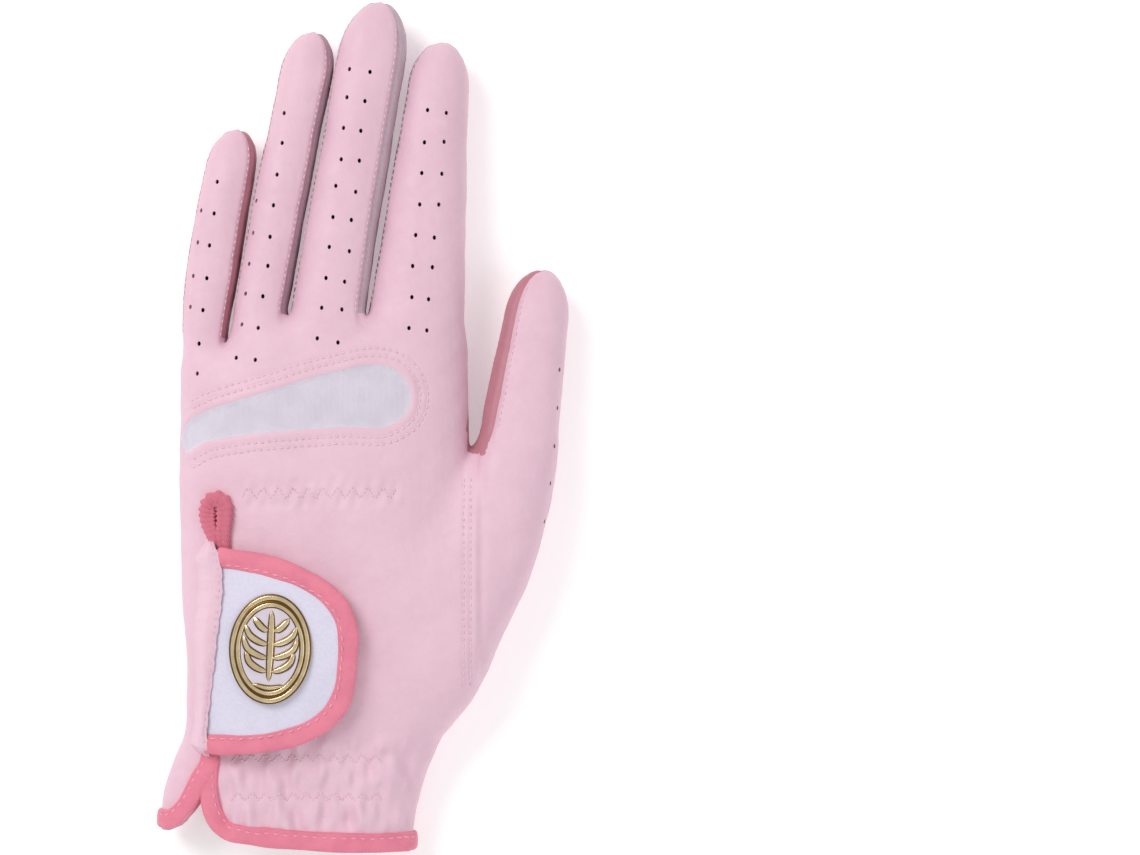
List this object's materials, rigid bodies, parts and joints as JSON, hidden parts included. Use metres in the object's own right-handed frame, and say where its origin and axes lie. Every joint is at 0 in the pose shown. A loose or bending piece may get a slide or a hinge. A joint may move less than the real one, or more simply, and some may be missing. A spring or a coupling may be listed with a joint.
{
  "type": "golf glove",
  "caption": "Left-hand golf glove in soft pink leather with a stretch knuckle insert, bound wrist slit and a rounded closure tab with an oval badge.",
  "frame": {"origin": "on the resting plane, under the middle of the glove's outline", "axes": "+Z out of the back of the hand, +Y towards the fingertips, +X towards the thumb"},
  "size_m": [0.1058, 0.2198, 0.0326],
  "materials": {
    "leather": "soft matt pink sheepskin",
    "gusset_knit": "fine stretch knit",
    "stretch_panel": "smooth white stretch fabric",
    "tab_microfibre": "smooth white microfibre",
    "elastic_web": "ribbed elastic webbing",
    "binding_tape": "folded rose tape with stitching",
    "loop_pile": "brushed loop pile",
    "hook_tape": "moulded hooks",
    "badge_metal": "polished pale gold"
  },
  "bodies": {
    "hand": {"back_panel": "leather", "palm_panel": "leather", "side_flap": "leather", "thumb_back_panel": "leather", "thumb_palm_panel": "leather", "finger_roots_back": "leather", "finger_roots_palm": "leather", "finger_roots_gusset": "gusset_knit", "knuckle_insert": "stretch_panel", "back_elastic": "elastic_web", "wrist_elastic": "elastic_web", "palm_elastic": "elastic_web", "loop_patch": "loop_pile", "slit_binding": "binding_tape", "cuff_binding": "binding_tape", "flap_binding": "binding_tape", "palm_cuff_binding": "binding_tape"},
    "index_base": {"index_base_back": "leather", "index_base_palm": "leather", "index_base_gusset": "gusset_knit"},
    "index_tip": {"index_tip_back": "leather", "index_tip_palm": "leather", "index_tip_gusset": "gusset_knit"},
    "middle_base": {"middle_base_back": "leather", "middle_base_palm": "leather", "middle_base_gusset": "gusset_knit"},
    "middle_tip": {"middle_tip_back": "leather", "middle_tip_palm": "leather", "middle_tip_gusset": "gusset_knit"},
    "ring_base": {"ring_base_back": "leather", "ring_base_palm": "leather", "ring_base_gusset": "gusset_knit"},
    "ring_tip": {"ring_tip_back": "leather", "ring_tip_palm": "leather", "ring_tip_gusset": "gusset_knit"},
    "little_base": {"little_base_back": "leather", "little_base_palm": "leather", "little_base_gusset": "gusset_knit"},
    "little_tip": {"little_tip_back": "leather", "little_tip_palm": "leather", "little_tip_gusset": "gusset_knit"},
    "thumb_base": {"thumb_base_back": "leather", "thumb_base_palm": "leather", "thumb_base_gusset": "gusset_knit"},
    "thumb_tip": {"thumb_tip_back": "leather", "thumb_tip_palm": "leather", "thumb_tip_gusset": "gusset_knit"},
    "closure_tab": {"tab_face": "tab_microfibre", "tab_lining": "leather", "hook_patch": "hook_tape", "tab_binding": "binding_tape", "badge_plate": "badge_metal", "badge_rim": "badge_metal"}
  },
  "joints": [
    {"name": "index_root_bend", "type": "hinge", "parent": "hand", "child": "index_base", "pos_m": [0.01458, 0.03547, 0.00755], "axis": [-0.996, 0.0889, 0], "range_deg": [0, 70]},
    {"name": "index_knuckle_bend", "type": "hinge", "parent": "index_base", "child": "index_tip", "pos_m": [0.0164, 0.05589, 0.00709], "axis": [-0.996, 0.0889, 0], "range_deg": [0, 85]},
    {"name": "middle_root_bend", "type": "hinge", "parent": "hand", "child": "middle_base", "pos_m": [-0.00743, 0.0369, 0.00801], "axis": [-0.9874, 0.1582, 0], "range_deg": [0, 70]},
    {"name": "middle_knuckle_bend", "type": "hinge", "parent": "middle_base", "child": "middle_tip", "pos_m": [-0.0038, 0.05961, 0.00747], "axis": [-0.9874, 0.1582, 0], "range_deg": [0, 85]},
    {"name": "ring_root_bend", "type": "hinge", "parent": "hand", "child": "ring_base", "pos_m": [-0.02507, 0.03638, 0.00759], "axis": [-0.9842, 0.1771, 0], "range_deg": [0, 70]},
    {"name": "ring_knuckle_bend", "type": "hinge", "parent": "ring_base", "child": "ring_tip", "pos_m": [-0.02126, 0.05754, 0.00698], "axis": [-0.9842, 0.1771, 0], "range_deg": [0, 85]},
    {"name": "little_root_bend", "type": "hinge", "parent": "hand", "child": "little_base", "pos_m": [-0.03962, 0.02991, 0.00748], "axis": [-0.989, 0.1478, 0], "range_deg": [0, 70]},
    {"name": "little_knuckle_bend", "type": "hinge", "parent": "little_base", "child": "little_tip", "pos_m": [-0.0374, 0.04475, 0.00687], "axis": [-0.989, 0.1478, 0], "range_deg": [0, 85]},
    {"name": "thumb_root_bend", "type": "hinge", "parent": "hand", "child": "thumb_base", "pos_m": [0.04123, 0.00293, 0.00692], "axis": [-0.988, 0.1547, 0], "range_deg": [0, 52]},
    {"name": "thumb_knuckle_bend", "type": "hinge", "parent": "thumb_base", "child": "thumb_tip", "pos_m": [0.04386, 0.01972, 0.00642], "axis": [-0.988, 0.1547, 0], "range_deg": [0, 63]},
    {"name": "tab_hinge", "type": "hinge", "parent": "hand", "child": "closure_tab", "pos_m": [-0.0395, -0.0575, 0.02423], "axis": [-0.0746, -0.9928, -0.094], "range_deg": [0, 150]}
  ]
}
